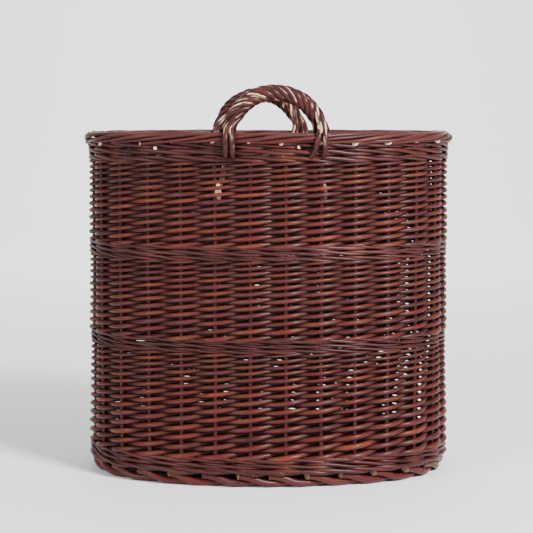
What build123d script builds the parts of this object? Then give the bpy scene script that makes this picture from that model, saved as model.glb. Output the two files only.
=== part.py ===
from build123d import *
import os
from math import atan2, copysign, cos, pi, sin, sqrt

# Oval log basket of unpeeled willow, woven on upright stakes, with a rope handle front and back.
# Millimetres. +Z is up, the front faces -Y, and the origin is on the ground under the middle.

# Plan of the body, over the outside of the siding: two long side arcs and two end arcs
body_width = 500.0
body_depth = 340.0
side_radius = 410.0

# Heights of the rounds of weaving, from the ground up
foot_height = 13.0
upsett_height = 26.0
lower_siding_height = 141.0
lower_band_height = 17.0
middle_siding_height = 105.0
upper_band_height = 18.0
upper_siding_height = 111.0
top_wale_height = 21.0
border_height = 17.0

# Wall of weaving
siding_thickness = 16.0
wale_proud = 1.0
border_overhang = 7.0
border_round = 7.0
foot_inset = 4.0
foot_width = 20.0
foot_round = 4.0

# Stakes, one round of uprights whose tails are bent into the base
stake_count = 28
stake_diameter = 6.0
stake_bend = 9.0
stake_tail = 30.0
stake_top_depth = 8.0

# Base: short sticks across, split in the middle to let the long sticks through
base_thickness = 16.0
stick_diameter = 8.0
stick_split_diameter = 14.0
stick_split_length = 60.0
long_stick_gap = 1.0
short_sticks_each_half = 4
stick_margin = 4.0
stick_past_stake = 1.0
fan_start_past_stick = 8.0
fan_bend = 30.0
fan_share = 1.0

# Handles: a bow liner, the rope of rods round it and the lacing that ties it over the border
liner_diameter = 8.0
liner_depth = 95.0
liner_past_stake = 7.75
stakes_to_liner = 2
handle_span = 127.0
handle_rise = 66.0
rope_diameter = 22.0
lacing_diameter = 7.0
lacing_spread = 8.4
lacing_drop = 33.0
lacing_bend = 8.0
lacing_end_gap = 0.6
lacing_lift = 1.0

# Gaps between a rod and the weaving packed round it
rod_clearance = 0.1

# Levels that follow from the heights
upsett_bottom = foot_height
lower_siding_bottom = upsett_bottom + upsett_height
lower_band_bottom = lower_siding_bottom + lower_siding_height
middle_siding_bottom = lower_band_bottom + lower_band_height
upper_band_bottom = middle_siding_bottom + middle_siding_height
upper_siding_bottom = upper_band_bottom + upper_band_height
top_wale_bottom = upper_siding_bottom + upper_siding_height
border_bottom = top_wale_bottom + top_wale_height
rim = border_bottom + border_height
base_level = foot_height + base_thickness / 2

# Plan arcs that follow from the width, the depth and the side radius
half_width = body_width / 2
half_depth = body_depth / 2
end_radius = (2 * side_radius * half_depth - half_width**2 - half_depth**2) / (
    2 * (side_radius - half_width)
)
end_centre = half_width - end_radius
side_centre = side_radius - half_depth
side_turn = atan2(end_centre, side_centre)
end_turn = pi / 2 - side_turn

# Insets from the outside of the siding
stake_inset = siding_thickness / 2
base_inset = siding_thickness + wale_proud
side_run = 2 * side_turn * (side_radius - stake_inset)
end_run = 2 * end_turn * (end_radius - stake_inset)
stake_pitch = 2 * (side_run + end_run) / stake_count

STEP_FOLDER = "parts"
os.makedirs(STEP_FOLDER, exist_ok=True)


def save(piece, name):
    """Label a finished piece and write its STEP file."""
    piece.part.label = name
    export_step(piece.part, f"{STEP_FOLDER}/{name}.step")


def oval(inset, mode=Mode.ADD):
    """Filled plan of the body, moved in by inset, in the open sketch."""
    side_degrees = side_turn * 180 / pi
    end_degrees = end_turn * 180 / pi
    with BuildLine() as outline:
        CenterArc((end_centre, 0), end_radius - inset, -end_degrees, 2 * end_degrees)
        CenterArc((0, -side_centre), side_radius - inset, end_degrees, 2 * side_degrees)
        CenterArc((-end_centre, 0), end_radius - inset, 180 - end_degrees, 2 * end_degrees)
        CenterArc((0, side_centre), side_radius - inset, 180 + end_degrees, 2 * side_degrees)
    make_face(outline.edges(), mode=mode)


def on_stake_line(distance):
    """Point and outward direction at a distance along the line of the stakes, measured
    counter-clockwise from the middle of the front."""
    half_laps, run = divmod(distance + side_run / 2, side_run + end_run)
    if run < side_run:
        centre = Vector(0, side_centre)
        radius = side_radius - stake_inset
        heading = -pi / 2 + (run - side_run / 2) / radius
    else:
        centre = Vector(end_centre, 0)
        radius = end_radius - stake_inset
        heading = -end_turn + (run - side_run) / radius
    outward = Vector(cos(heading), sin(heading))
    point = centre + outward * radius
    if half_laps % 2:
        return -point, -outward
    return point, outward


def bent_rod(points, bend, diameter, mode=Mode.ADD):
    """Round rod along straight runs joined by bends of one radius."""
    with BuildLine() as route:
        if len(points) > 2:
            FilletPolyline(*points, radius=bend)
        else:
            Line(*points)
    with BuildSketch(Plane(origin=route.line @ 0, z_dir=route.line % 0)) as section:
        Circle(diameter / 2)
    sweep(section.sketch, path=route.line, mode=mode)


# ---------------------------------------------------------------- places of stakes and sticks

stakes = [on_stake_line((number + 0.5) * stake_pitch) for number in range(stake_count)]
beside = (stick_diameter + stake_diameter) / 2 + stick_past_stake
short_stick_places = [
    copysign(abs(point.X) + beside, point.X)
    for point, outward in stakes
    if point.Y < 0 and abs(point.X) < on_stake_line(short_sticks_each_half * stake_pitch)[0].X
]
short_stick_places.sort()
long_stick_places = [row * (stick_diameter + long_stick_gap) for row in (-1, 0, 1)]


def stake_route(point, outward):
    """Corners of a stake: its top, its bend under the wall and the end of its tail."""
    last_stick = max(short_stick_places)
    if abs(point.X) < last_stick:
        inward = Vector(0, -copysign(1, point.Y))
        tail = stake_tail
    else:
        inward = -outward
        room = (abs(point.X) - last_stick - beside) / abs(outward.X)
        tail = min(stake_tail, room - stake_bend)
    foot = Vector(point.X, point.Y, base_level)
    top = Vector(point.X, point.Y, border_bottom + stake_top_depth)
    return [top, foot, foot + inward * (stake_bend + tail)]


def base_reach(x):
    """Half the depth of the base at a place along its width."""
    if abs(x) < (side_radius - base_inset) * sin(side_turn):
        return sqrt((side_radius - base_inset) ** 2 - x**2) - side_centre
    return sqrt((end_radius - base_inset) ** 2 - (abs(x) - end_centre) ** 2)


def short_stick(x, growth=0.0):
    """One stick across the base, swollen where it is split for the long sticks."""
    radius = stick_diameter / 2 + growth
    middle = stick_split_diameter / 2 + growth
    half_split = stick_split_length / 2
    half_length = base_reach(abs(x) + stick_diameter / 2) - stick_margin
    level = Plane(origin=(x, 0, base_level))
    with BuildSketch(level) as half_profile:
        with BuildLine():
            Polyline((0, half_split), (0, half_length), (radius, half_length), (radius, half_split))
            ThreePointArc((radius, half_split), (middle, 0), (radius, -half_split))
            Polyline((radius, -half_split), (radius, -half_length), (0, -half_length), (0, half_split))
        make_face()
    revolve(half_profile.sketch, axis=Axis(level.origin, (0, 1, 0)))


def long_stick(y, growth=0.0, mode=Mode.ADD):
    """One stick along the base. The outer two fan out past the last short stick."""
    reach = half_width - base_inset - stick_margin
    if y == 0:
        corners = [(-reach, 0, base_level), (reach, 0, base_level)]
    else:
        fan_start = max(short_stick_places) + fan_start_past_stick
        fan_reach = end_radius - base_inset - stick_margin
        fan_turn = fan_share * stake_pitch / (end_radius - stake_inset)
        end_x = end_centre + fan_reach * cos(fan_turn)
        end_y = copysign(fan_reach * sin(fan_turn), y)
        corners = [
            (-end_x, end_y, base_level),
            (-fan_start, y, base_level),
            (fan_start, y, base_level),
            (end_x, end_y, base_level),
        ]
    bent_rod(corners, fan_bend, stick_diameter + 2 * growth, mode)


def woven_ring(bottom, height, outer_inset, inner_inset):
    """One closed round of weaving."""
    with BuildSketch(Plane.XY.offset(bottom)) as plan:
        oval(outer_inset)
        oval(inner_inset, mode=Mode.SUBTRACT)
    extrude(plan.sketch, amount=height)


# ---------------------------------------------------------------- handle geometry

liner_places = [
    stakes_to_liner * stake_pitch - stake_pitch / 2 + liner_past_stake - handle_span,
    stakes_to_liner * stake_pitch - stake_pitch / 2 + liner_past_stake,
]


def turned(point, side):
    """A point of the front handle, or its half-turn copy at the back."""
    return point if side == "front" else Vector(-point.X, -point.Y, point.Z)


def liner_feet(side):
    """The two places on the stake line where the bow liner enters the wall."""
    return [turned(on_stake_line(place)[0], side) for place in liner_places]


def handle_plane(side):
    """Upright plane of a handle, with its origin at the middle of the arch."""
    left, right = liner_feet(side)
    along = right - left
    arch_radius = along.length / 2
    middle = (left + right) / 2
    level = rim + handle_rise - rope_diameter / 2 - arch_radius
    origin = Vector(middle.X, middle.Y, level)
    return Plane(origin=origin, x_dir=along, z_dir=along.cross(Vector(0, 0, 1))), arch_radius


def handle_bow(side, bottom, diameter):
    """Round bow: a straight leg, a half circle and a straight leg, down to a level."""
    plane, arch_radius = handle_plane(side)
    drop = bottom - plane.origin.Z
    with BuildLine(plane) as route:
        Line((arch_radius, drop), (arch_radius, 0))
        CenterArc((0, 0), arch_radius, 0, 180)
        Line((-arch_radius, 0), (-arch_radius, drop))
    with BuildSketch(Plane(origin=route.line @ 0, z_dir=route.line % 0)) as section:
        Circle(diameter / 2)
    sweep(section.sketch, path=route.line)


def lacing_strands(side, foot_number, growth=0.0):
    """Two strands that leave the rope, lap over the border and end in the top wale."""
    point, outward = on_stake_line(liner_places[foot_number])
    point = turned(point, side)
    outward = turned(outward, side)
    sideways = outward.cross(Vector(0, 0, 1))
    over = rim + lacing_diameter / 2 + lacing_lift
    under = rim - lacing_drop
    out = stake_inset + border_overhang + lacing_diameter / 2 + rod_clearance
    start = liner_diameter / 2 + lacing_end_gap
    for share in (-0.5, 0.5):
        origin = point + sideways * (share * lacing_spread)
        plane = Plane(origin=origin, x_dir=outward, z_dir=sideways)
        corners = [(start - growth, over), (out, over), (out, under), (start - growth, under)]
        route = [plane.from_local_coords(Vector(*corner)) for corner in corners]
        bent_rod(route, lacing_bend, lacing_diameter + 2 * growth)


# ---------------------------------------------------------------- room left in the weaving

with BuildPart() as stake_room:
    for point, outward in stakes:
        bent_rod(stake_route(point, outward), stake_bend, stake_diameter + 2 * rod_clearance)

with BuildPart() as stick_room:
    for place in short_stick_places:
        short_stick(place, rod_clearance)
    for y in long_stick_places:
        long_stick(y, rod_clearance)

with BuildPart() as liner_room:
    for side in ("front", "back"):
        handle_bow(side, rim - liner_depth, liner_diameter + 2 * rod_clearance)

with BuildPart() as lacing_room:
    for side in ("front", "back"):
        for foot_number in (0, 1):
            lacing_strands(side, foot_number, rod_clearance)

# ---------------------------------------------------------------- base

for number, place in enumerate(short_stick_places, start=1):
    with BuildPart() as base_short_stick:
        short_stick(place)
        for y in long_stick_places:
            long_stick(y, rod_clearance, Mode.SUBTRACT)
    save(base_short_stick, f"base_short_stick_{number}")

for number, y in enumerate(long_stick_places, start=1):
    with BuildPart() as base_long_stick:
        long_stick(y)
    save(base_long_stick, f"base_long_stick_{number}")

with BuildPart() as base_weave:
    with BuildSketch(Plane.XY.offset(foot_height)):
        oval(base_inset)
    extrude(amount=base_thickness)
    add(stick_room.part, mode=Mode.SUBTRACT)
    add(stake_room.part, mode=Mode.SUBTRACT)
save(base_weave, "base_weave")

# ---------------------------------------------------------------- stakes

for number, (point, outward) in enumerate(stakes, start=1):
    with BuildPart() as side_stake:
        bent_rod(stake_route(point, outward), stake_bend, stake_diameter)
    save(side_stake, f"side_stake_{number:02d}")

# ---------------------------------------------------------------- rounds of weaving

with BuildPart() as foot_border:
    woven_ring(0, foot_height, foot_inset, foot_inset + foot_width)
    fillet(foot_border.edges().group_by(Axis.Z)[0], foot_round)
save(foot_border, "foot_border")

with BuildPart() as upsett_wale:
    woven_ring(upsett_bottom, upsett_height, -wale_proud, base_inset)
    add(stake_room.part, mode=Mode.SUBTRACT)
save(upsett_wale, "upsett_wale")

with BuildPart() as lower_siding:
    woven_ring(lower_siding_bottom, lower_siding_height, 0, siding_thickness)
    add(stake_room.part, mode=Mode.SUBTRACT)
save(lower_siding, "lower_siding")

with BuildPart() as lower_wale_band:
    woven_ring(lower_band_bottom, lower_band_height, -wale_proud, base_inset)
    add(stake_room.part, mode=Mode.SUBTRACT)
save(lower_wale_band, "lower_wale_band")

with BuildPart() as middle_siding:
    woven_ring(middle_siding_bottom, middle_siding_height, 0, siding_thickness)
    add(stake_room.part, mode=Mode.SUBTRACT)
save(middle_siding, "middle_siding")

with BuildPart() as upper_wale_band:
    woven_ring(upper_band_bottom, upper_band_height, -wale_proud, base_inset)
    add(stake_room.part, mode=Mode.SUBTRACT)
save(upper_wale_band, "upper_wale_band")

with BuildPart() as upper_siding:
    woven_ring(upper_siding_bottom, upper_siding_height, 0, siding_thickness)
    add(stake_room.part, mode=Mode.SUBTRACT)
    add(liner_room.part, mode=Mode.SUBTRACT)
save(upper_siding, "upper_siding")

with BuildPart() as top_wale:
    woven_ring(top_wale_bottom, top_wale_height, -wale_proud, base_inset)
    add(stake_room.part, mode=Mode.SUBTRACT)
    add(liner_room.part, mode=Mode.SUBTRACT)
    add(lacing_room.part, mode=Mode.SUBTRACT)
save(top_wale, "top_wale")

with BuildPart() as border:
    woven_ring(border_bottom, border_height, -border_overhang, siding_thickness + border_overhang)
    fillet(border.edges().group_by(Axis.Z)[-1] + border.edges().group_by(Axis.Z)[0], border_round)
    add(stake_room.part, mode=Mode.SUBTRACT)
    add(liner_room.part, mode=Mode.SUBTRACT)
save(border, "border")

# ---------------------------------------------------------------- handles

for side in ("front", "back"):
    with BuildPart() as bow_liner:
        handle_bow(side, rim - liner_depth, liner_diameter)
    save(bow_liner, f"{side}_handle_liner")

    with BuildPart() as rope:
        handle_bow(side, border_bottom, rope_diameter)
        split(bisect_by=Plane.XY.offset(rim), keep=Keep.TOP)
        add(liner_room.part, mode=Mode.SUBTRACT)
        add(lacing_room.part, mode=Mode.SUBTRACT)
    save(rope, f"{side}_handle_rope")

    for foot_number, foot_name in enumerate(("left", "right")):
        with BuildPart() as lacing:
            lacing_strands(side, foot_number)
        save(lacing, f"{side}_handle_{foot_name}_lacing")

print(f"stake pitch {stake_pitch:.2f}, end radius {end_radius:.2f}, rim {rim:.1f}")
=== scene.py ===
import math

import bpy
import numpy as np
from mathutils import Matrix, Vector


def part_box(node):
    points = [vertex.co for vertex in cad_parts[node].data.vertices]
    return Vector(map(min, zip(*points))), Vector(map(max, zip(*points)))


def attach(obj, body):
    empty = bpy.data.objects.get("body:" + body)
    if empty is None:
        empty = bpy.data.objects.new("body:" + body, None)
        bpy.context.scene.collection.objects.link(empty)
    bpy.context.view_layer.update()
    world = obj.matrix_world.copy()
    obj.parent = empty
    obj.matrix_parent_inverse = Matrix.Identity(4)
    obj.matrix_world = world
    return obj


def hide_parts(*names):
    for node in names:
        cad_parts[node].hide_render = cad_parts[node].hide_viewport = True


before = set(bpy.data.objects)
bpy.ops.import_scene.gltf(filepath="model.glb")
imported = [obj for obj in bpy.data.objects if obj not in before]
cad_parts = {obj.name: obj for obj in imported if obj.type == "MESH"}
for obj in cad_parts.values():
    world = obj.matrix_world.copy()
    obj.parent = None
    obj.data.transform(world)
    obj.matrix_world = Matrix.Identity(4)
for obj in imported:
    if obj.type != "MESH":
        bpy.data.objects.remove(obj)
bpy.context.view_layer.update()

bl_info = {
    "name": "Oval Willow Log Basket",
    "version": (1, 0, 0),
    "blender": (4, 5, 0),
    "location": "3D View > Sidebar > Basket",
    "description": "Weaves an oval log basket of dark unpeeled willow, rod by rod",
    "category": "Add Mesh",
}

MM = 0.001
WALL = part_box("middle_siding")
HALF_LENGTH = WALL[1].x
HALF_WIDTH = WALL[1].y
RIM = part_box("border")
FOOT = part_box("foot_border")
STAKE_COUNT = sum(1 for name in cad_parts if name.startswith("side_stake_"))


# ---------------------------------------------------------------- settings

class BasketSizes(bpy.types.PropertyGroup):
    side_radius: bpy.props.FloatProperty(
        name="Side radius", description="Radius of the two long sides of the oval, seen from above",
        default=0.410, min=0.3, subtype="DISTANCE", unit="LENGTH")
    wall: bpy.props.FloatProperty(
        name="Wall thickness", description="From the outside of the weaving to the inside",
        default=0.016, min=0.01, subtype="DISTANCE", unit="LENGTH")
    stake: bpy.props.FloatProperty(
        name="Stake", description="Thickness of an upright stake",
        default=0.006, min=0.003, subtype="DISTANCE", unit="LENGTH")
    border_rod: bpy.props.FloatProperty(
        name="Border rod", description="Thickness of a stake where it is laid down into the border",
        default=0.0057, min=0.003, subtype="DISTANCE", unit="LENGTH")
    foot_rod: bpy.props.FloatProperty(
        name="Foot rod", description="Thickness of a stout rod of the foot",
        default=0.0102, min=0.004, subtype="DISTANCE", unit="LENGTH")
    handle_rod: bpy.props.FloatProperty(
        name="Handle rod", description="Thickness of one rod twisted round a handle",
        default=0.0070, min=0.003, subtype="DISTANCE", unit="LENGTH")
    bow: bpy.props.FloatProperty(
        name="Handle bow", description="Thickness of the bent bow inside a handle",
        default=0.008, min=0.004, subtype="DISTANCE", unit="LENGTH")
    base_weaver: bpy.props.FloatProperty(
        name="Base weaver", description="Thickness of a rod woven through the base sticks",
        default=0.0040, min=0.002, subtype="DISTANCE", unit="LENGTH")
    lower_levels: bpy.props.IntProperty(
        name="Lower siding levels", description="Rods crossing each stake in the lower siding",
        default=28, min=4)
    middle_levels: bpy.props.IntProperty(
        name="Middle siding levels", description="Rods crossing each stake in the middle siding",
        default=24, min=4)
    upper_levels: bpy.props.IntProperty(
        name="Upper siding levels", description="Rods crossing each stake in the upper siding",
        default=26, min=4)
    seed: bpy.props.IntProperty(
        name="Hand", description="Number that sets the small unevenness of the rods", default=7, min=0)


def colour_property(name, description, default):
    return bpy.props.FloatVectorProperty(
        name=name, description=description, default=default, size=4, min=0.0, max=1.0, subtype="COLOR")


class BasketColours(bpy.types.PropertyGroup):
    rust: colour_property("Rust bark", "The odd bright red-orange rod", (0.1500, 0.0230, 0.0080, 1.0))
    dark: colour_property("Dark bark", "The darkest maroon rods", (0.0140, 0.0012, 0.0009, 1.0))
    red: colour_property("Red bark", "The red rods", (0.0760, 0.0058, 0.0046, 1.0))
    brown: colour_property("Brown bark", "The orange-brown rods", (0.1020, 0.0225, 0.0072, 1.0))
    plum: colour_property("Plum bark", "The purple-grey rods", (0.0420, 0.0075, 0.0130, 1.0))
    bloom: colour_property("Bloom", "Pale bloom and scuffs on the bark", (0.1300, 0.0440, 0.0360, 1.0))
    cut: colour_property("Cut wood", "Fresh wood where a rod is cut", (0.660, 0.460, 0.310, 1.0))
    pith: colour_property("Pith", "The core of a cut rod", (0.200, 0.095, 0.040, 1.0))
    floor: colour_property("Floor", "The plain floor", (0.860, 0.860, 0.855, 1.0))


def sizes():
    return bpy.context.scene.basket_sizes


def colours():
    return bpy.context.scene.basket_colours


# ---------------------------------------------------------------- the oval

def oval_arcs():
    """The oval's arcs. A side arc of radius R is centred on the Y axis and an end arc of radius r on
    the X axis; they meet without a corner where the distance between centres is R - r, which gives r.
    All radii are of the stake line, the middle of the wall."""
    big = sizes().side_radius
    side_centre = big - HALF_WIDTH
    end = (big**2 - HALF_LENGTH**2 - side_centre**2) / (2 * (big - HALF_LENGTH))
    end_centre = HALF_LENGTH - end
    side_turn = math.atan2(end_centre, side_centre)
    middle = sizes().wall / 2
    return big - middle, end - middle, side_centre, end_centre, side_turn


def line_length():
    big, end, _, _, turn = oval_arcs()
    return 4 * (big * turn + end * (math.pi / 2 - turn))


def pitch():
    return line_length() / STAKE_COUNT


def facing(distance):
    """The way the wall faces at a distance along the stake line from the middle of the front, as an
    angle: it turns evenly along each arc, by the side turn on a side and the rest on an end."""
    big, end, _, _, turn = oval_arcs()
    a, b = big * turn, end * (math.pi / 2 - turn)
    stops = np.cumsum([0, a, 2 * b, 2 * a, 2 * b, a])
    end_turn = math.pi - 2 * turn
    angles = -math.pi / 2 + np.cumsum([0, turn, end_turn, 2 * turn, end_turn, turn])
    length = stops[-1]
    laps = np.floor(distance / length)
    return np.interp(distance - laps * length, stops, angles) + 2 * math.pi * laps


def on_oval(angle, offset):
    """Point of the oval that faces angle, offset outwards: arc centre + (radius + offset) x facing."""
    big, end, side_centre, end_centre, turn = oval_arcs()
    out = np.stack([np.cos(angle), np.sin(angle), np.zeros_like(angle)], -1)
    at_end = np.abs(out[..., 0]) > math.sin(turn)
    centre = np.zeros_like(out)
    centre[..., 0] = np.where(at_end, np.sign(out[..., 0]) * end_centre, 0)
    centre[..., 1] = np.where(at_end, 0, -np.sign(out[..., 1]) * side_centre)
    radius = np.where(at_end, end, big) + offset
    return centre + radius[..., None] * out, out


def on_wall(distance, offset, height):
    """Points at a distance along the stake line, offset outwards from it, at a height."""
    distance, offset, height = np.broadcast_arrays(distance, offset, height)
    points, out = on_oval(facing(distance), offset)
    points[..., 2] = height
    return points, out


def sway(length, rods, seed, amount, wave=0.19):
    """Slow unevenness of hand work: for each rod, three sine waves of its length with their own phases."""
    rng = np.random.default_rng(seed)
    total = np.zeros_like(length)
    for share, part in ((1.0, 1.0), (0.6, 0.43), (0.4, 0.21)):
        phase = rng.uniform(0, 2 * math.pi, rods)[:, None]
        total = total + share * np.sin(2 * math.pi * length / (wave * part) + phase)
    return amount * total / 2


# ---------------------------------------------------------------- rods

def rod_surface(points, radius, out, sides=8, start_slant=0.0, end_slant=0.0, tone=None, seed=1, knots=0.05,
                offset=None):
    """Round rods as one array. Each rod's surface is a circle of the radius carried along its path:
    point + radius x (cos a x outward + sin a x sideways), where sideways is square to the path and
    outward. Knots are slight swellings of the radius at uneven steps. A slant cuts the end as a knife
    does: no point lies nearer the end than slant x radius x (cos a + 1). The unshaded share is how far a
    point lies from the middle of the wall, as a share of half the wall: the heart of the weaving gets
    painted shade and is made duller, and its faces get none."""
    rods, steps = points.shape[:2]
    rng = np.random.default_rng(seed)
    radius = np.broadcast_to(radius, (rods, steps)).astype(float)
    along = np.gradient(points, axis=1)
    pace = np.linalg.norm(along, axis=-1)
    length = np.cumsum(pace, 1)
    along = along / np.maximum(pace, 1e-9)[..., None]
    across = np.cross(along, np.broadcast_to(out, points.shape))
    across /= np.maximum(np.linalg.norm(across, axis=-1), 1e-9)[..., None]
    outward = np.cross(across, along)
    wander = rng.uniform(0, 2 * math.pi, rods)[:, None]
    step = rng.uniform(0.030, 0.055, rods)[:, None]
    swell = knots * np.exp(-((np.mod(length / step + wander, 1) - 0.5) / 0.10) ** 2)
    radius = radius * (1 + swell + 0.03 * np.sin(length / 0.021 + 2 * wander))
    turn = np.linspace(0, 2 * math.pi, sides, endpoint=False)
    c, s = np.cos(turn)[:, None], np.sin(turn)[:, None]
    ring = radius[..., None, None] * (c * outward[..., None, :] + s * across[..., None, :])
    surface = points[:, :, None] + ring
    from_start, from_end = length - length[:, :1], length[:, -1:] - length
    for slant, way, gone in ((start_slant, 1, from_start), (end_slant, -1, from_end)):
        slant = np.broadcast_to(np.asarray(slant, float), (rods,))[:, None, None]
        cut = slant * radius[..., None] * (np.cos(turn) + 1)
        surface += (way * np.maximum(cut - gone[..., None], 0))[..., None] * along[:, :, None]
    tone = rng.uniform(0, 1, rods) if tone is None else np.broadcast_to(tone, (rods,))
    # Unshaded share for the painted shade: 1 means none; with an offset it falls towards the middle of the
    # wall.
    wear = np.ones(surface.shape[:3])
    if offset is not None:
        lie = np.broadcast_to(offset, (rods, steps))[..., None] + radius[..., None] * np.cos(turn)
        wear = np.clip(np.abs(lie) / (sizes().wall / 2), 0, 1)
    return {"surface": surface, "length": length, "radius": radius, "tone": tone, "wear": wear}


def paint_coil_shade(bundle, points, away):
    """Painted shade on rods laid in a coil, as an unshaded share: none on the side of a rod that faces the
    coil's middle, which is painted darkest, and full on the side that faces away from it, (1 + cos of the
    angle between them) / 2 squared."""
    ring = bundle["surface"] - points[:, :, None]
    ring = ring / np.maximum(np.linalg.norm(ring, axis=-1, keepdims=True), 1e-9)
    away = away / np.maximum(np.linalg.norm(away, axis=-1, keepdims=True), 1e-9)
    bundle["wear"] = np.clip(0.5 + 0.5 * np.einsum("rsck,rsk->rsc", ring, away), 0, 1) ** 2
    return bundle


def rods_mesh(name, bundles):
    """One mesh from bundles of rod surfaces: four-cornered faces between neighbouring circles and a flat
    face over each end. The map is the length along the rod by the way round it, in metres, and over an
    end the disc itself. Attributes hold each rod's tone, how far along the rod a point is, and its
    unshaded share, which sets the painted shade."""
    corners, loops, starts, maps, tones, farness, unshaded_shares, flats = [], [], [], [], [], [], [], []
    first, first_loop = 0, 0
    for bundle in bundles:
        surface = bundle["surface"]
        rods, steps, sides = surface.shape[:3]
        index = first + np.arange(rods * steps * sides).reshape(rods, steps, sides)
        nxt = np.roll(index, -1, axis=2)
        quads = np.stack([index[:, :-1], nxt[:, :-1], nxt[:, 1:], index[:, 1:]], -1).reshape(-1, 4)
        low_caps, high_caps = index[:, 0, ::-1], index[:, -1, :]
        around = np.arange(sides)
        girth = 2 * math.pi * bundle["radius"].mean() / sides
        v0 = np.broadcast_to(around * girth, (rods, steps - 1, sides))
        u = bundle["length"] + 1.31 + 0.37 * np.arange(rods)[:, None]
        u0 = np.broadcast_to(u[:, :-1, None], v0.shape)
        u1 = np.broadcast_to(u[:, 1:, None], v0.shape)
        quad_map = np.stack([u0, v0, u0, v0 + girth, u1, v0 + girth, u1, v0], -1).reshape(-1, 2)
        turn = 2 * math.pi * around / sides
        disc = 0.5 + 0.5 * np.stack([np.cos(turn), np.sin(turn)], -1)
        corners.append(surface.reshape(-1, 3))
        loops += [quads.ravel(), low_caps.ravel(), high_caps.ravel()]
        maps += [quad_map, np.tile(disc[::-1], (rods, 1)), np.tile(disc, (rods, 1))]
        starts.append(first_loop + 4 * np.arange(len(quads)))
        first_loop += 4 * len(quads)
        starts.append(first_loop + sides * np.arange(2 * rods))
        first_loop += 2 * rods * sides
        flats += [np.zeros(len(quads), bool), np.ones(2 * rods, bool)]
        tones.append(np.repeat(bundle["tone"], steps * sides))
        far = bundle["length"] / bundle["length"][:, -1:]
        farness.append(np.repeat(far.ravel(), sides))
        unshaded_shares.append(bundle["wear"].ravel())
        first += rods * steps * sides
    corners, loops, starts = np.concatenate(corners), np.concatenate(loops), np.concatenate(starts)
    flats = np.concatenate(flats)
    mesh = bpy.data.meshes.new(name)
    mesh.vertices.add(len(corners))
    mesh.vertices.foreach_set("co", corners.astype(np.float32).ravel())
    mesh.loops.add(len(loops))
    mesh.loops.foreach_set("vertex_index", loops.astype(np.int32))
    mesh.polygons.add(len(starts))
    mesh.polygons.foreach_set("loop_start", starts.astype(np.int32))
    mesh.update(calc_edges=True)
    mesh.polygons.foreach_set("use_smooth", ~flats)
    mesh.polygons.foreach_set("material_index", flats.astype(np.int32))
    layer = mesh.uv_layers.new(name="rod")
    layer.uv.foreach_set("vector", np.concatenate(maps).astype(np.float32).ravel())
    for label, values in (("tone", tones), ("far", farness), ("wear", unshaded_shares)):
        attribute = mesh.attributes.new(label, "FLOAT", "POINT")
        attribute.data.foreach_set("value", np.concatenate(values).astype(np.float32))
    mesh.update()
    return mesh


def make_piece(name, bundles, nodes, bark_material, aged=False):
    """Puts a bundle of rods into the scene as one piece that stands for its CAD nodes."""
    mesh = rods_mesh(name, bundles)
    mesh.materials.append(bark_material)
    mesh.materials.append(cut_wood(aged))
    piece = bpy.data.objects.new(name, mesh)
    bpy.context.scene.collection.objects.link(piece)
    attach(piece, "root")
    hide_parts(*nodes)
    return piece


# ---------------------------------------------------------------- finishes

def blend_colours(tree, factor, low, high):
    node = tree.nodes.new("ShaderNodeMix")
    node.data_type = "RGBA"
    for socket, value in ((node.inputs[0], factor), (node.inputs[6], low), (node.inputs[7], high)):
        if isinstance(value, bpy.types.NodeSocket):
            tree.links.new(value, socket)
        else:
            socket.default_value = value
    return node.outputs[2]


def calculate(tree, operation, first, second=0.0, third=0.0, clamp=False):
    node = tree.nodes.new("ShaderNodeMath")
    node.operation = operation
    node.use_clamp = clamp
    for socket, value in zip(node.inputs, (first, second, third)):
        if isinstance(value, bpy.types.NodeSocket):
            tree.links.new(value, socket)
        else:
            socket.default_value = value
    return node.outputs[0]


def ramp(tree, source, stops):
    node = tree.nodes.new("ShaderNodeValToRGB")
    elements = node.color_ramp.elements
    while len(elements) < len(stops):
        elements.new(0.5)
    for element, (place, value) in zip(elements, stops):
        element.position = place
        element.color = value if hasattr(value, "__len__") else (value, value, value, 1.0)
    tree.links.new(source, node.inputs[0])
    return node.outputs[0]


def stretched(tree, kind, coordinates, stretch):
    """A texture of the kind, with so many cells to the metre each way."""
    mapping = tree.nodes.new("ShaderNodeMapping")
    mapping.inputs["Scale"].default_value = stretch
    tree.links.new(coordinates, mapping.inputs["Vector"])
    node = tree.nodes.new(kind)
    node.inputs["Scale"].default_value = 1.0
    tree.links.new(mapping.outputs[0], node.inputs["Vector"])
    return node


def noise(tree, coordinates, stretch, detail=3.0, roughness=0.55):
    node = stretched(tree, "ShaderNodeTexNoise", coordinates, stretch)
    node.inputs["Detail"].default_value = detail
    node.inputs["Roughness"].default_value = roughness
    return node.outputs[0]


def dots(tree, coordinates, stretch, size):
    """Round spots, one to a cell, with a soft edge that ends at the size, as a share of the cell."""
    cells = stretched(tree, "ShaderNodeTexVoronoi", coordinates, stretch)
    return ramp(tree, cells.outputs["Distance"], ((0.05, 1.0), (size, 0.0)))


def attribute(tree, name):
    node = tree.nodes.new("ShaderNodeAttribute")
    node.attribute_name = name
    return node.outputs["Fac"]


def raise_surface(tree, shader, height, strength, distance):
    node = tree.nodes.new("ShaderNodeBump")
    node.inputs["Strength"].default_value = strength
    node.inputs["Distance"].default_value = distance
    tree.links.new(height, node.inputs["Height"])
    tree.links.new(node.outputs[0], shader.inputs["Normal"])


def new_material(name):
    material = bpy.data.materials.new(name)
    material.use_nodes = True
    tree = material.node_tree
    shader = tree.nodes["Principled BSDF"]
    return material, tree, shader


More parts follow.
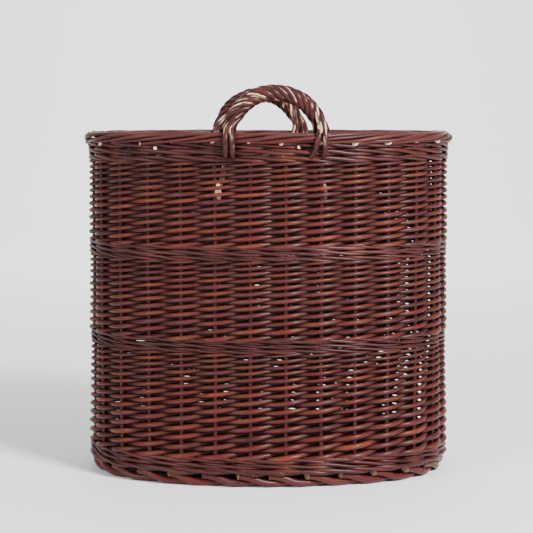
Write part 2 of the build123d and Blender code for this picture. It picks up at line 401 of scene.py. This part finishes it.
def bark(name, weights, roughness=0.40, mapped=True, peel=0.0, rusty=0.0):
    """Willow bark. The rod's own tone picks a colour from a mix of barks, rusty being how strongly a
    tenth of the rods turn rust red; patches of plum and brown lie over it, and it darkens towards the
    tip. Painted shade darkens it and makes it rougher where the unshaded share is low: deep in the wall
    and on the inner side of a coil. Fine streaks run along the rod, pale breathing pores dot it, bud
    scars darken it, and peel bares the wood in places. Roughness and bump follow the streaks and pores."""
    name = "willow_" + name
    found = bpy.data.materials.get(name)
    if found:
        return found
    material, tree, shader = new_material(name)
    tint = colours()
    if mapped:
        source = tree.nodes.new("ShaderNodeUVMap")
        source.uv_map = "rod"
        place = source.outputs[0]
        tone, far = attribute(tree, "tone"), attribute(tree, "far")
    else:
        source = tree.nodes.new("ShaderNodeTexCoord")
        place = source.outputs["Object"]
        tone = noise(tree, place, (7.0, 7.0, 7.0), 0.0)
        far = noise(tree, place, (3.0, 3.0, 3.0), 0.0)
    body = tree.nodes.new("ShaderNodeTexCoord").outputs["Object"]
    picked = ramp(tree, tone, [(0.2 * step, getattr(tint, key)) for step, key in enumerate(weights)])
    if rusty:
        rust_mask = ramp(tree, tone, ((0.455, 0.0), (0.465, rusty), (0.545, rusty), (0.555, 0.0)))
        picked = blend_colours(tree, rust_mask, picked, tint.rust)
    patches = noise(tree, body, (46.0, 46.0, 60.0), 2.0)
    patch_mask = ramp(tree, patches, ((0.40, 0.0), (0.66, 1.0)))
    mixed = blend_colours(tree, calculate(tree, "MULTIPLY", patch_mask, 0.45), picked, tint.plum)
    warm = noise(tree, body, (23.0, 23.0, 31.0), 1.0)
    warm_mask = ramp(tree, warm, ((0.50, 0.0), (0.72, 1.0)))
    mixed = blend_colours(tree, calculate(tree, "MULTIPLY", warm_mask, 0.50), mixed, tint.brown)
    mixed = blend_colours(tree, calculate(tree, "MULTIPLY", far, 0.35), mixed, tint.dark)
    if mapped:
        # Painted shade: where the unshaded share is low the bark colour is pulled towards dark bark, and
        # the roughness is raised.
        shade_and_dull = ramp(tree, attribute(tree, "wear"), ((0.15, 1.0), (0.92, 0.0)))
        mixed = blend_colours(tree, calculate(tree, "MULTIPLY", shade_and_dull, 0.93), mixed, tint.dark)
        streaks = noise(tree, place, (70.0, 1500.0, 1.0), 3.0, 0.6)
        fine = noise(tree, place, (420.0, 2600.0, 1.0), 2.0, 0.6)
    else:
        streaks = noise(tree, place, (160.0, 900.0, 900.0), 3.0, 0.6)
        fine = noise(tree, place, (900.0, 1500.0, 1500.0), 2.0, 0.6)
    streak_mask = ramp(tree, streaks, ((0.30, 0.0), (0.74, 1.0)))
    mixed = blend_colours(tree, calculate(tree, "MULTIPLY", streak_mask, 0.36), mixed, tint.bloom)
    dark_mask = ramp(tree, fine, ((0.30, 1.0), (0.52, 0.0)))
    mixed = blend_colours(tree, calculate(tree, "MULTIPLY", dark_mask, 0.60), mixed, tint.dark)
    pore_mask = dots(tree, place, (210.0, 330.0, 1.0) if mapped else (260.0, 330.0, 330.0), 0.17)
    mixed = blend_colours(tree, calculate(tree, "MULTIPLY", pore_mask, 0.35), mixed, tint.bloom)
    scar_mask = dots(tree, place, (26.0, 90.0, 1.0) if mapped else (30.0, 90.0, 90.0), 0.13)
    mixed = blend_colours(tree, calculate(tree, "MULTIPLY", scar_mask, 0.7), mixed, tint.dark)
    if peel:
        splits = noise(tree, place, (30.0, 210.0, 1.0), 2.0)
        split_mask = ramp(tree, splits, ((0.68 - 0.1 * peel, 0.0), (0.72 - 0.1 * peel, 1.0)))
        inner = ramp(tree, far, ((0.07, 0.0), (0.12, 0.85), (0.88, 0.85), (0.93, 0.0)))
        mixed = blend_colours(tree, calculate(tree, "MULTIPLY", split_mask, inner), mixed, tint.cut)
    tree.links.new(mixed, shader.inputs["Base Color"])
    gloss = calculate(tree, "MULTIPLY_ADD", streaks, 0.26, roughness - 0.13)
    gloss = calculate(tree, "MULTIPLY_ADD", pore_mask, 0.2, gloss, clamp=True)
    if mapped:
        gloss = calculate(tree, "MULTIPLY_ADD", shade_and_dull, 0.4, gloss, clamp=True)
    tree.links.new(gloss, shader.inputs["Roughness"])
    relief = calculate(tree, "MULTIPLY_ADD", pore_mask, 0.5, streaks)
    relief = calculate(tree, "MULTIPLY_ADD", scar_mask, 1.2, relief)
    relief = calculate(tree, "MULTIPLY_ADD", fine, 0.3, relief)
    raise_surface(tree, shader, relief, 0.5, 0.5 * MM)
    shader.inputs["Coat Weight"].default_value = 0.16
    shader.inputs["Coat Roughness"].default_value = 0.24
    shader.inputs["Specular IOR Level"].default_value = 0.10
    return material


def cut_wood(aged=False):
    """The end of a cut rod: cream wood with growth rings round a brown pith and a thin dark rim of bark,
    drawn by the distance from the middle of the disc, with fine saw and knife marks."""
    name = "old_cut_willow" if aged else "cut_willow"
    found = bpy.data.materials.get(name)
    if found:
        return found
    material, tree, shader = new_material(name)
    tint = colours()
    source = tree.nodes.new("ShaderNodeUVMap")
    source.uv_map = "rod"
    centred = tree.nodes.new("ShaderNodeVectorMath")
    centred.operation = "DISTANCE"
    tree.links.new(source.outputs[0], centred.inputs[0])
    centred.inputs[1].default_value = (0.5, 0.5, 0.0)
    away = centred.outputs["Value"]
    body = tree.nodes.new("ShaderNodeTexCoord").outputs["Object"]
    grain = noise(tree, body, (700.0, 700.0, 700.0), 3.0)
    wood = blend_colours(tree, grain, [c * 0.72 for c in tint.cut[:3]] + [1.0], tint.cut)
    if aged:
        wood = blend_colours(tree, 0.75, wood, tint.brown)
    mask = ramp(tree, away, ((0.07, 1.0), (0.12, 0.0)))
    wood = blend_colours(tree, mask, wood, tint.pith)
    rim = ramp(tree, away, ((0.455, 0.0), (0.49, 1.0)))
    wood = blend_colours(tree, rim, wood, tint.red)
    tree.links.new(wood, shader.inputs["Base Color"])
    rings = calculate(tree, "SINE", calculate(tree, "MULTIPLY", away, 60.0))
    raise_surface(tree, shader, calculate(tree, "MULTIPLY_ADD", rings, 0.2, grain), 0.3, 0.3 * MM)
    tree.links.new(calculate(tree, "MULTIPLY_ADD", grain, 0.2, 0.55), shader.inputs["Roughness"])
    return material


WEAVER_MIX = ("dark", "plum", "red", "brown", "plum", "brown")
WALE_MIX = ("dark", "plum", "dark", "dark", "plum", "dark")
STOUT_MIX = ("red", "plum", "brown", "red", "plum", "red")
HANDLE_MIX = ("dark", "red", "dark", "dark", "plum", "dark")


# ---------------------------------------------------------------- weaving

def siding_rods(bottom, top, levels, taper, full, seed):
    """Plain weaving with one rod to each stake. Rod j leaves the space j and travels t spaces to the
    right: its distance is (j + t) x pitch; it is in front of one stake and behind the next, so its
    offset is A sin(pi t); and it climbs one rod thickness at each stake. The thickness falls from butt
    to tip as 1 - taper x t to the power 1.3, scaled so that the levels fill the height; full is how
    much stouter than its level a rod is."""
    step = 10
    start, stop = -0.42, levels - 0.32
    t = np.linspace(start, stop, int((stop - start) * step))
    share = np.clip(t / levels, 0, 1)
    thick = 1 - taper * share**1.3
    fine = np.linspace(0, levels, 400)
    rise = np.concatenate([[0], np.cumsum((1 - taper * (fine[:-1] / levels) ** 1.3) * np.diff(fine))])
    unit = (top - bottom) / rise[-1]
    height = bottom + unit * np.interp(t, fine, rise)
    diameter = unit * thick
    rods = STAKE_COUNT
    rng = np.random.default_rng(seed)
    own = rng.normal(full, 0.06, rods)[:, None]
    diameter = np.broadcast_to(diameter, (rods, len(t))) * own
    travel = (np.arange(rods)[:, None] + t[None, :]) * pitch()
    reach = sizes().stake / 2 + diameter / 2 - 0.0002
    swing = np.sin(math.pi * t)
    offset = reach * swing + sway(travel, rods, seed + 1, 0.35 * MM)
    height = height + sway(travel, rods, seed + 2, 0.42 * MM, 0.31)
    points, out = on_wall(travel, offset, height)
    tone = rng.uniform(0, 1, rods)
    return rod_surface(points, diameter * 0.5, out, 8, tone=tone, seed=seed + 3, offset=offset)


def wale_rods(bottom, top, rounds, seed, proud=0.0, lumpy=0.0):
    """Three-rod waling, each rod in front of two stakes and behind one. With p the angle that turns
    once in three stakes, the offset is A (1/3 + cos p - 1/3 cos 2p) and the height falls as
    -h sin p, so that a stroke comes out on top and slopes down to the right. Each round closes on
    itself after three laps, which are three rods, and the next round starts one stake further on."""
    diameter = (top - bottom) / (2 * rounds)
    rods, spare = 3, 0.45
    t = np.linspace(-spare, STAKE_COUNT + spare, int(9 * (STAKE_COUNT + 2 * spare)))
    laps = STAKE_COUNT * np.arange(rods)[:, None]
    p = 2 * math.pi * (t[None, :] + laps - 1) / 3
    bundles = []
    for turn in range(rounds):
        rng = np.random.default_rng(seed + turn)
        size = diameter * 1.12 * rng.normal(1.0, 0.10 + lumpy, rods)[:, None]
        reach = sizes().stake / 2 + size / 2 + proud
        shape = 1 / 3 + np.cos(p) - np.cos(2 * p) / 3
        travel = (laps + turn + t[None, :]) * pitch()
        offset = reach * np.where(shape > 0, shape, shape * 0.9)
        offset = offset + sway(travel, rods, seed + turn, 0.25 * MM)
        middle = bottom + diameter * (2 * turn + 1)
        slope = 0.577 * diameter * (1 + 0.45 * sway(travel, rods, seed + 5 + turn, 1.0, 0.23))
        lumps = sway(travel, rods, seed + 9 + turn, (0.75 + 6 * lumpy) * MM, 0.17)
        height = middle - slope * np.sin(p) + lumps
        points, out = on_wall(travel, offset, height)
        tone = rng.uniform(0, 1, rods)
        bundles.append(rod_surface(points, size * 0.5, out, 7, tone=tone, seed=seed + turn, offset=offset))
    return bundles


def border_rods(seed):
    """The rolled border. Each stake is laid down to the right and winds round the rim as a coil whose
    section is an ellipse: it shows its cut end low on the outside, climbs over the outer face, crosses the
    top and goes down inside to its own stake. It passes equal lengths of the ellipse at each stake,
    so the rods lie side by side."""
    thick = sizes().border_rod
    out_reach = (RIM[1].x - HALF_LENGTH) + sizes().wall / 2 - thick / 2 - 0.2 * MM
    tall = (RIM[1].z - RIM[0].z - thick) / 2
    middle = (RIM[1].z + RIM[0].z) / 2
    angle = np.linspace(math.radians(-62), math.radians(212), 300)
    curve = np.stack([out_reach * np.cos(angle), tall * np.sin(angle)], -1)
    run = np.concatenate([[0], np.cumsum(np.linalg.norm(np.diff(curve, axis=0), axis=-1))])
    stakes = run[-1] / (thick * 1.02)
    t = np.linspace(0, stakes, int(stakes * 9))
    where = np.interp(t / stakes * run[-1], run, angle)
    rods = STAKE_COUNT
    rng = np.random.default_rng(seed)
    shift = rng.normal(0, 0.07, rods)[:, None]
    travel = (np.arange(rods)[:, None] + 0.30 + shift + t[None, :]) * pitch()
    size = thick * rng.normal(0.89, 0.10, rods)[:, None] * (1 - 0.12 * (1 - t / stakes)[None, :])
    start = np.exp(-(t / 0.35) ** 2)[None, :]
    offset = out_reach * np.cos(where)[None, :] + sway(travel, rods, seed + 1, 0.5 * MM) + 0.0042 * start
    height = middle + tall * np.sin(where)[None, :] + sway(travel, rods, seed + 2, 0.9 * MM, 0.24)
    height = height + rng.uniform(-0.0030, 0.0022, rods)[:, None] * start
    points, out = on_wall(travel, offset, height)
    bundle = rod_surface(points, size * 0.5, out, 9, start_slant=rng.uniform(0.9, 1.6, rods),
                         tone=rng.uniform(0, 1, rods), seed=seed)
    # Painted shade on the side of each border rod that faces the middle of its coil.
    up = np.array([0, 0, 1.0])
    away = (np.cos(where) / out_reach)[:, None] * out + (np.sin(where) / tall)[:, None] * up
    return paint_coil_shade(bundle, points, away)


def border_tails(seed):
    """Butts of waling rods cut off short just outside the wall, under the border."""
    rods, radius = 12, 2.4 * MM
    rng = np.random.default_rng(seed)
    chosen = rng.permutation(STAKE_COUNT)[:rods]
    t = np.linspace(0, 1, 8)[None, :]
    travel = (chosen + rng.uniform(0.55, 0.80, rods))[:, None] * pitch() + 6.0 * MM * t
    offset = sizes().wall / 2 - 6.5 * MM + 8.8 * MM * t
    height = RIM[0].z - rng.uniform(0.001, 0.006, rods)[:, None] + 1.5 * MM * t
    points, _ = on_wall(travel, offset, height)
    up = np.broadcast_to(np.array([0, 0, 1.0]), points.shape)
    return rod_surface(points, radius, up, 9, end_slant=0.3, tone=rng.uniform(0, 1, rods), seed=seed)


def foot_rods(seed):
    """The foot. From each stake a stout rod starts with a blunt end under the waling, runs down to the
    right over the next rod, then lies along the ground while it moves from the outside to the inside."""
    thick = sizes().foot_rod
    rods = STAKE_COUNT
    rng = np.random.default_rng(seed)
    t = np.linspace(-0.12, 2.55, 40)
    inset = (HALF_LENGTH - FOOT[1].x) - sizes().wall / 2
    outer = -inset - thick / 2 + 0.0010
    inner = outer - 0.0115
    fall = 1 / (1 + np.exp((t - 0.46) / 0.13))
    low = thick / 2
    high = FOOT[1].z + 0.0025
    height = low + (high - low) * fall[None, :]
    drift = 1 / (1 + np.exp(-(t - 1.25) / 0.30))
    offset = outer + 0.0012 * np.sin(math.pi * np.clip(t, 0, 1)) + (inner - outer) * drift
    shift = rng.normal(0, 0.05, rods)[:, None]
    travel = (np.arange(rods)[:, None] + 0.16 + shift + t[None, :]) * pitch()
    size = thick * rng.normal(1.0, 0.04, rods)[:, None] * (1 - 0.18 * np.clip(t / 2.5, 0, 1))
    offset = offset[None, :] + sway(travel, rods, seed, 0.3 * MM)
    height = np.maximum(height + sway(travel, rods, seed + 1, 0.15 * MM), size * 0.5 * 1.06)
    points, out = on_wall(travel, offset, height)
    return rod_surface(points, size * 0.5, out, 10, start_slant=rng.uniform(0.1, 0.7, rods),
                       tone=rng.uniform(0, 1, rods), seed=seed, knots=0.03)


def stake_rods(seed):
    """Stakes: up the middle of the wall, with the foot of each bent in under the base weaving by a
    quarter circle."""
    rods, steps = STAKE_COUNT, 60
    bend, tail = 0.009, 0.020
    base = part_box("base_weave")
    level = (base[0].z + base[1].z) / 2
    top = RIM[1].z - 0.010
    quarter = bend * math.pi / 2
    run = np.linspace(0, 1, steps) * (tail + quarter + top - level - bend)
    a = np.clip((run - tail) / quarter, 0, 1) * math.pi / 2
    offset = -bend - np.maximum(tail - run, 0) + bend * np.sin(a)
    height = level + bend * (1 - np.cos(a)) + np.maximum(run - tail - quarter, 0)
    lean = sway(np.broadcast_to(height, (rods, steps)) + 0.01, rods, seed, 0.5 * MM)
    travel = (np.arange(rods)[:, None] + 0.5) * pitch() + lean
    points, out = on_wall(travel, offset[None, :], height[None, :])
    beside = np.stack([-out[..., 1], out[..., 0], np.zeros_like(out[..., 0])], -1)
    tone = np.random.default_rng(seed).uniform(0, 1, rods)
    return rod_surface(points, sizes().stake / 2, beside, 10, tone=tone, seed=seed)


def base_rods(seed):
    """The base weaving: pairs of rods round the base sticks, one over while the other is under. A ring
    keeps the same inset from the oval all round. With k counting the sticks passed, the height is
    A cos(pi k) and the sideways shift B sin(pi k), so the pair twists between sticks."""
    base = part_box("base_weave")
    level = (base[0].z + base[1].z) / 2
    big, end, _, end_centre, turn = oval_arcs()
    thick = sizes().base_weaver
    sticks = sorted((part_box(name)[0].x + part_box(name)[1].x) / 2
                    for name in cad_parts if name.startswith("base_short_stick"))
    crossing = 0.004
    bundles = []
    insets = np.arange(0.0105, end - 0.006, thick * 1.12)
    for ring, inset in enumerate(insets):
        right = [x for x in sticks if x > 0]
        angles = []
        for x in right:
            tilt = math.asin(min(x / (big - inset), 1.0))
            if tilt > turn:
                ratio = min((x - end_centre) / (end - inset), 0.97)
                angles.append(-math.acos(max(ratio, 0.0)))
            else:
                angles.append(tilt - math.pi / 2)
        for k in range(1, len(angles)):
            angles[k] = max(angles[k], angles[k - 1] + 0.05)
        fan = min(0.24, abs(angles[-1]) * 0.6)
        quarter = np.array(angles + [-fan])
        half = np.concatenate([quarter, [0.0], -quarter[::-1]])
        whole = np.concatenate([half, math.pi + half])
        knots_at = np.concatenate([[whole[-1] - 2 * math.pi], whole, [whole[0] + 2 * math.pi]])
        counts = np.arange(-1, len(whole) + 1)
        perimeter = line_length() - 2 * math.pi * inset
        steps = max(60, int(perimeter / 0.0065))
        s = np.linspace(0, line_length(), steps)
        angle = facing(s)
        angle[-1] = angle[0] + 2 * math.pi
        passed = np.interp(np.mod(angle + math.pi / 2, 2 * math.pi) - math.pi / 2, knots_at, counts)
        passed[-1] = passed[0] + len(whole)
        phase = math.pi * passed[None, :] + math.pi * (np.arange(2)[:, None] + ring)
        reach = crossing + thick / 2
        height = level + reach * np.cos(phase)
        offset = -inset + 0.30 * thick * np.sin(phase)
        angle = np.broadcast_to(angle, phase.shape)
        points, out = on_oval(angle, offset)
        points[..., 2] = height
        up = np.zeros_like(out)
        up[..., 2] = 1
        bundles.append(rod_surface(points, thick / 2 * 1.02, up, 6, seed=seed + ring, knots=0.03))
    return bundles


# ---------------------------------------------------------------- handles

def handle_frame(back):
    """Where a handle stands: the middle between its feet, the way from its left foot to its right foot
    seen from outside, the outward way, the arch's radius and the height of its centre."""
    left_foot, right_foot = -49.45 * MM, 77.55 * MM
    narrower, shift = (4.5 * MM, 1.5 * MM) if back else (2.0 * MM, 5.0 * MM)
    below_top = 14.5 * MM
    left, _ = on_wall(np.array(left_foot), 0.0, 0.0)
    right, _ = on_wall(np.array(right_foot), 0.0, 0.0)
    across = right - left
    span = np.linalg.norm(across)
    across = across / span
    middle = (left + right) / 2
    outward = np.array([across[1], -across[0], 0.0])
    if back:
        middle, across, outward = middle * [-1, -1, 1], -across, -outward
    radius = span / 2 - narrower
    middle = middle - shift * across
    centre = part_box("front_handle_rope")[1].z - below_top - radius
    return middle, across, outward, radius, centre


def smooth(path, passes):
    """Rounds a path: each pass replaces a point with the mean of itself and its two neighbours,
    weighted 2, 1 and 1."""
    for _ in range(passes):
        path = np.concatenate([path[:1], (path[:-2] + 2 * path[1:-1] + path[2:]) / 4, path[-1:]])
    return path


def handle_strands(back, seed):
    """Six rods twisted round the bow. On the arch a rod is a helix round the bow's line: h (cos w x away
    from the arch's centre + sin w x outward), with w growing by thirteen sixths of a turn between the feet.
    At each foot the rods part: the two outside lap over the border and tuck into the waling, and the
    other four do the same inside."""
    middle, across, outward, radius, centre = handle_frame(back)
    thick = sizes().handle_rod
    coil = 0.0077
    up = np.array([0.0, 0.0, 1.0])
    spring = 0.40
    b = np.linspace(spring, math.pi - spring, 90)
    away = -np.cos(b)[:, None] * across + np.sin(b)[:, None] * up
    line = middle + np.array([0, 0, centre]) + radius * away
    depth = np.array([17, 10, 4, -2, -9, -15, -19, -22, -25]) * MM
    outs = np.array([8.5, 13.5, 17.2, 18.6, 18.4, 15.6, 13.0, 10.5, 7.0]) * MM
    rng = np.random.default_rng(seed)
    lean = ((1.0, 2.0), (-13.0, -4.0))
    rods = []
    for i in range(6):
        w = 2 * math.pi * i / 6 + (b - b[0]) / (b[-1] - b[0]) * 2 * math.pi * 13 / 6
        coiled = line + coil * (np.cos(w)[:, None] * away + np.sin(w)[:, None] * outward)
        legs = []
        for foot, angle in ((0, w[0]), (1, w[-1])):
            sign = -1 if foot == 0 else 1
            outside = math.sin(angle) > 0.1
            spread = sign * math.cos(angle) * (8.6 if outside else 11.0) * MM
            drift = np.linspace(0, 1, len(depth)) ** 1.5
            pull = lean[foot][0 if spread < 0 else 1] * MM if outside else rng.uniform(-3, 3) * MM
            sideways = spread * np.interp(np.arange(len(depth)), [0, 3], [0.6, 1.0]) + pull * drift
            face = outs if outside else -outs
            legs.append(middle + (sign * radius + sideways)[:, None] * across
                        + face[:, None] * outward + (centre + depth)[:, None] * up)
        path = np.concatenate([densify(legs[0][::-1]), coiled[3:-3], densify(legs[1])])
        rods.append(even_steps(smooth(path, 10), 170))
    points = np.stack(rods)
    out = outward[None, None, :]
    far = np.linspace(0, 1, 170)
    size = thick * (1.06 - 0.45 * np.abs(2 * far - 1) ** 8)[None, :] * rng.normal(1.0, 0.07, 6)[:, None]
    bundle = rod_surface(points, size / 2, out, 12, tone=rng.uniform(0, 1, 6), seed=seed, knots=0.05)
    # Painted shade on the side of each strand that faces the bow's line.
    from_centre = points - middle - centre * up
    sideways, height = from_centre @ across, from_centre @ up
    reach = np.hypot(sideways, np.maximum(height, 0))
    nearest = (radius * sideways / reach)[..., None] * across \
        + (np.where(height > 0, radius * height / reach, height))[..., None] * up
    return paint_coil_shade(bundle, points, from_centre - nearest)


def densify(path):
    """Adds evenly spaced points along a coarse path, eight to each run."""
    steps = np.linspace(0, len(path) - 1, 8 * (len(path) - 1) + 1)
    return np.stack([np.interp(steps, np.arange(len(path)), path[:, k]) for k in range(3)], -1)


def even_steps(path, count):
    """The same path with its points at equal lengths."""
    run = np.concatenate([[0], np.cumsum(np.linalg.norm(np.diff(path, axis=0), axis=-1))])
    steps = np.linspace(0, run[-1], count)
    return np.stack([np.interp(steps, run, path[:, k]) for k in range(3)], -1)


def handle_bow(back, seed):
    """The bow: a half circle on two straight legs that go down beside the stakes, cut to long slants."""
    middle, across, outward, radius, centre = handle_frame(back)
    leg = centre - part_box("front_handle_liner")[0].z
    total = 2 * leg + math.pi * radius
    run = np.linspace(0, total, 110)
    b = np.clip((run - leg) / radius, 0, math.pi)
    drop = np.maximum(leg - run, 0) + np.maximum(run - leg - math.pi * radius, 0)
    height = centre + radius * np.sin(b) - drop
    low = np.clip(drop / leg, 0, 1)
    low = low * low * (3 - 2 * low)
    left_lean, right_lean = -13.5 * MM, 3.0 * MM
    sideways = np.where(np.cos(b) > 0, left_lean, right_lean) * low - radius * np.cos(b)
    offset = -3.4 * MM * np.clip(drop / 0.02, 0, 1) + 3.0 * MM * low**3
    points = (middle + sideways[:, None] * across + offset[:, None] * outward
              + height[:, None] * np.array([0, 0, 1.0]))
    slant = 3.6
    return rod_surface(points[None], sizes().bow / 2, outward[None, None, :], 10,
                       start_slant=slant, end_slant=slant, tone=0.72, seed=seed)


# ---------------------------------------------------------------- operators

class BASKET_OT_stage(bpy.types.Operator):
    """Set up the floor, the studio lights and the camera"""
    bl_idname = "basket.stage"
    bl_label = "Stage"

    def execute(self, context):
        scene = context.scene
        turn = np.linspace(0, math.pi / 2, 24)
        depth = np.concatenate([[-8.0, -2.0], 4.0 + 3.0 * np.sin(turn), [7.0]])
        rise = np.concatenate([[0.0, 0.0], 3.0 - 3.0 * np.cos(turn), [7.0]])
        x = np.linspace(-9, 9, 4)
        corners = np.stack([np.tile(x, (len(depth), 1)), np.repeat(depth[:, None], 4, 1),
                            np.repeat(rise[:, None], 4, 1)], -1).reshape(-1, 3)
        i = np.arange(len(corners)).reshape(-1, 4)
        faces = np.stack([i[:-1, :-1], i[:-1, 1:], i[1:, 1:], i[1:, :-1]], -1).reshape(-1, 4)
        mesh = bpy.data.meshes.new("floor")
        mesh.from_pydata(corners.tolist(), [], faces.tolist())
        mesh.polygons.foreach_set("use_smooth", np.ones(len(faces), bool))
        floor = bpy.data.objects.new("floor", mesh)
        scene.collection.objects.link(floor)
        material, tree, shader = new_material("floor_paint")
        speckle = noise(tree, tree.nodes.new("ShaderNodeTexCoord").outputs["Object"], (9.0, 9.0, 9.0), 3.0)
        tint = colours().floor
        paler = [min(1.0, c * 1.01) for c in tint[:3]] + [1.0]
        tree.links.new(blend_colours(tree, speckle, tint, paler), shader.inputs["Base Color"])
        shader.inputs["Roughness"].default_value = 0.75
        mesh.materials.append(material)
        world = bpy.data.worlds.new("studio")
        world.use_nodes = True
        world.node_tree.nodes["Background"].inputs[0].default_value = (1.0, 1.0, 1.0, 1.0)
        world.node_tree.nodes["Background"].inputs[1].default_value = 0.55
        scene.world = world
        for name, place, aim, size, power in (
            ("key", (1.7, -2.1, 2.2), (0.0, 0.0, 0.25), 0.7, 265.0),
            ("fill", (-2.4, -2.2, 1.5), (0.0, 0.0, 0.25), 1.6, 85.0),
            ("back", (0.0, 3.2, 3.6), (0.0, 5.6, 0.6), 3.2, 330.0),
        ):
            lamp = bpy.data.lights.new(name, "AREA")
            lamp.size = size
            lamp.energy = power
            light = bpy.data.objects.new(name, lamp)
            light.location = place
            light.rotation_euler = look(place, aim)
            scene.collection.objects.link(light)
        camera = bpy.data.cameras.new("camera")
        camera.lens = 113.6
        camera.sensor_width = 36.0
        view = bpy.data.objects.new("camera", camera)
        place = (-0.0024, -2.35, 0.50)
        view.location = place
        view.rotation_euler = look(place, (-0.0024, 0.0, 0.279))
        scene.collection.objects.link(view)
        scene.camera = view
        return {"FINISHED"}


def look(place, aim):
    """The turn that points a camera or lamp from its place at its aim."""
    return (Vector(aim) - Vector(place)).to_track_quat("-Z", "Y").to_euler()


class BASKET_OT_stakes(bpy.types.Operator):
    """Stand the stakes in the wall"""
    bl_idname = "basket.stakes"
    bl_label = "Stakes"

    def execute(self, context):
        nodes = sorted(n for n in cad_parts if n.startswith("side_stake_"))
        make_piece("stakes", [stake_rods(sizes().seed)], nodes, bark("stake_bark", STOUT_MIX))
        return {"FINISHED"}


class BASKET_OT_base(bpy.types.Operator):
    """Weave the base and give the base sticks their bark"""
    bl_idname = "basket.base"
    bl_label = "Base"

    def execute(self, context):
        make_piece("base_weaving", base_rods(sizes().seed + 20), ["base_weave"],
                   bark("base_bark", WEAVER_MIX, roughness=0.5))
        finish = bark("stick_bark", STOUT_MIX, roughness=0.5, mapped=False)
        for name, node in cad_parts.items():
            if name.startswith(("base_short_stick", "base_long_stick")):
                node.data.materials.clear()
                node.data.materials.append(finish)
        return {"FINISHED"}


class BASKET_OT_foot(bpy.types.Operator):
    """Lay the rods of the foot"""
    bl_idname = "basket.foot"
    bl_label = "Foot"

    def execute(self, context):
        make_piece("foot_rods", [foot_rods(sizes().seed + 60)], ["foot_border"],
                   bark("border_bark", STOUT_MIX, roughness=0.42), aged=True)
        return {"FINISHED"}


class BASKET_OT_waling(bpy.types.Operator):
    """Weave the four bands of waling"""
    bl_idname = "basket.waling"
    bl_label = "Waling"

    def execute(self, context):
        finish = bark("wale_bark", WALE_MIX, roughness=0.42, rusty=0.3)
        for node, rounds, proud, lumpy, under, over, seed in (
            ("upsett_wale", 3, 0.0009, 0.06, -0.0050, 0.0012, 101),
            ("lower_wale_band", 3, 0.0004, 0.0, 0.0010, 0.0012, 131),
            ("upper_wale_band", 3, 0.0004, 0.0, 0.0010, 0.0012, 161),
            ("top_wale", 3, 0.0006, 0.02, 0.0006, 0.0042, 191),
        ):
            low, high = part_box(node)
            bundles = wale_rods(low.z - under, high.z + over, rounds, seed + sizes().seed, proud, lumpy)
            make_piece(node + "_rods", bundles, [node], finish)
        return {"FINISHED"}


class BASKET_OT_siding(bpy.types.Operator):
    """Weave the three sidings"""
    bl_idname = "basket.siding"
    bl_label = "Siding"

    def execute(self, context):
        s = sizes()
        finish = bark("weaver_bark", WEAVER_MIX, rusty=0.9)
        for node, levels, taper, full, seed in (
            ("lower_siding", s.lower_levels, 0.50, 1.11, 211),
            ("middle_siding", s.middle_levels, 0.36, 1.15, 241),
            ("upper_siding", s.upper_levels, 0.30, 1.16, 271),
        ):
            low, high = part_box(node)
            rods = siding_rods(low.z - 0.0020, high.z + 0.0022, levels, taper, full, seed + s.seed)
            make_piece(node + "_rods", [rods], [node], finish)
        return {"FINISHED"}


class BASKET_OT_border(bpy.types.Operator):
    """Roll the stakes down into the border"""
    bl_idname = "basket.border"
    bl_label = "Border"

    def execute(self, context):
        rods = [border_rods(sizes().seed + 300), border_tails(sizes().seed + 340)]
        make_piece("border_rods", rods, ["border"],
                   bark("border_bark", STOUT_MIX, roughness=0.42))
        return {"FINISHED"}


class BASKET_OT_handles(bpy.types.Operator):
    """Twist the two handles round their bows"""
    bl_idname = "basket.handles"
    bl_label = "Handles"

    def execute(self, context):
        finish = bark("handle_bark", HANDLE_MIX, roughness=0.38, peel=0.85)
        for name, back in (("front", False), ("back", True)):
            handle = name + "_handle"
            bow = handle_bow(back, 401 + back)
            make_piece(handle + "_bow", [bow], [handle + "_liner"], finish)
            strands = handle_strands(back, 421 + back + sizes().seed)
            ropes = [handle + part for part in ("_rope", "_left_lacing", "_right_lacing")]
            make_piece(handle + "_rods", [strands], ropes, finish)
        return {"FINISHED"}


OPERATORS = (BASKET_OT_stage, BASKET_OT_stakes, BASKET_OT_base, BASKET_OT_foot, BASKET_OT_waling,
             BASKET_OT_siding, BASKET_OT_border, BASKET_OT_handles)


class BASKET_PT_basket(bpy.types.Panel):
    """Lists the steps of the basket and its sizes and colours"""
    bl_idname = "BASKET_PT_basket"
    bl_label = "Basket"
    bl_space_type = "VIEW_3D"
    bl_region_type = "UI"
    bl_category = "Basket"

    def draw(self, context):
        layout = self.layout
        for operator in OPERATORS:
            layout.operator(operator.bl_idname)
        for group in (context.scene.basket_sizes, context.scene.basket_colours):
            column = layout.column()
            for key in group.__annotations__:
                column.prop(group, key)


CLASSES = (BasketSizes, BasketColours) + OPERATORS + (BASKET_PT_basket,)


def register():
    for each in CLASSES:
        bpy.utils.register_class(each)
    bpy.types.Scene.basket_sizes = bpy.props.PointerProperty(type=BasketSizes)
    bpy.types.Scene.basket_colours = bpy.props.PointerProperty(type=BasketColours)


def unregister():
    del bpy.types.Scene.basket_colours
    del bpy.types.Scene.basket_sizes
    for each in reversed(CLASSES):
        bpy.utils.unregister_class(each)


def main():
    """Makes the whole basket, one step after another."""
    register()
    for step in ("stage", "stakes", "base", "foot", "waling", "siding", "border", "handles"):
        getattr(bpy.ops.basket, step)()


if __name__ == "__main__":
    main()
